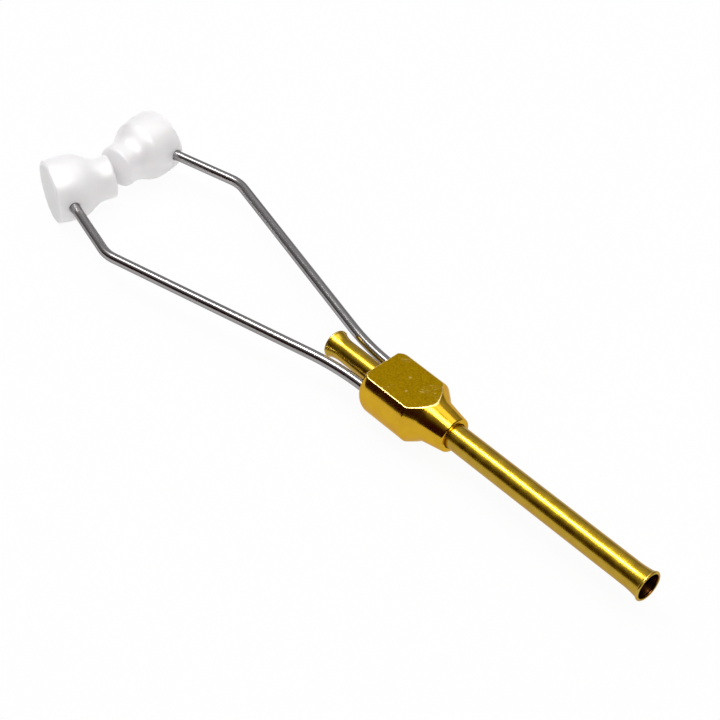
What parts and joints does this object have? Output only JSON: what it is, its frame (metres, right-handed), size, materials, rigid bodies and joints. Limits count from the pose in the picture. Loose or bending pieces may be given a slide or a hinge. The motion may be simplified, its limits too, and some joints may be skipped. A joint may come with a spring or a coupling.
{
  "type": "fly tying bobbin holder",
  "caption": "Bobbin holder for fly tying: gold turned body with two flats, flared thread tube, sprung wire arms and white spool feet.",
  "frame": {"origin": "on the thread tube's axis, in the rear face of the body", "axes": "+X along the thread tube towards its tip, +Y towards the left arm, +Z square to the body's flats"},
  "size_m": [0.112, 0.0252, 0.0096],
  "materials": {
    "gold_body": "polished gold-coloured plating, brushed on the flats",
    "gold_tube": "polished gold-coloured plating",
    "spring_wire": "bright drawn stainless spring wire",
    "white_plastic": "glossy white"
  },
  "bodies": {
    "holder": {"body": "gold_body", "front_tube": "gold_tube", "liner_tube": "gold_tube", "left_wire_root": "spring_wire", "right_wire_root": "spring_wire"},
    "left_arm": {"left_wire": "spring_wire", "left_foot": "white_plastic"},
    "right_arm": {"right_wire": "spring_wire", "right_foot": "white_plastic"}
  },
  "joints": [
    {"name": "left_arm_flex", "type": "hinge", "parent": "holder", "child": "left_arm", "pos_m": [-0.01832, 0.00579, 0], "axis": [0, 0, -1], "range_deg": [0, 20], "stiffness_Nm_per_rad": 1.1},
    {"name": "right_arm_flex", "type": "hinge", "parent": "holder", "child": "right_arm", "pos_m": [-0.01832, -0.00579, 0], "axis": [0, 0, 1], "range_deg": [0, 20], "stiffness_Nm_per_rad": 1.1}
  ]
}
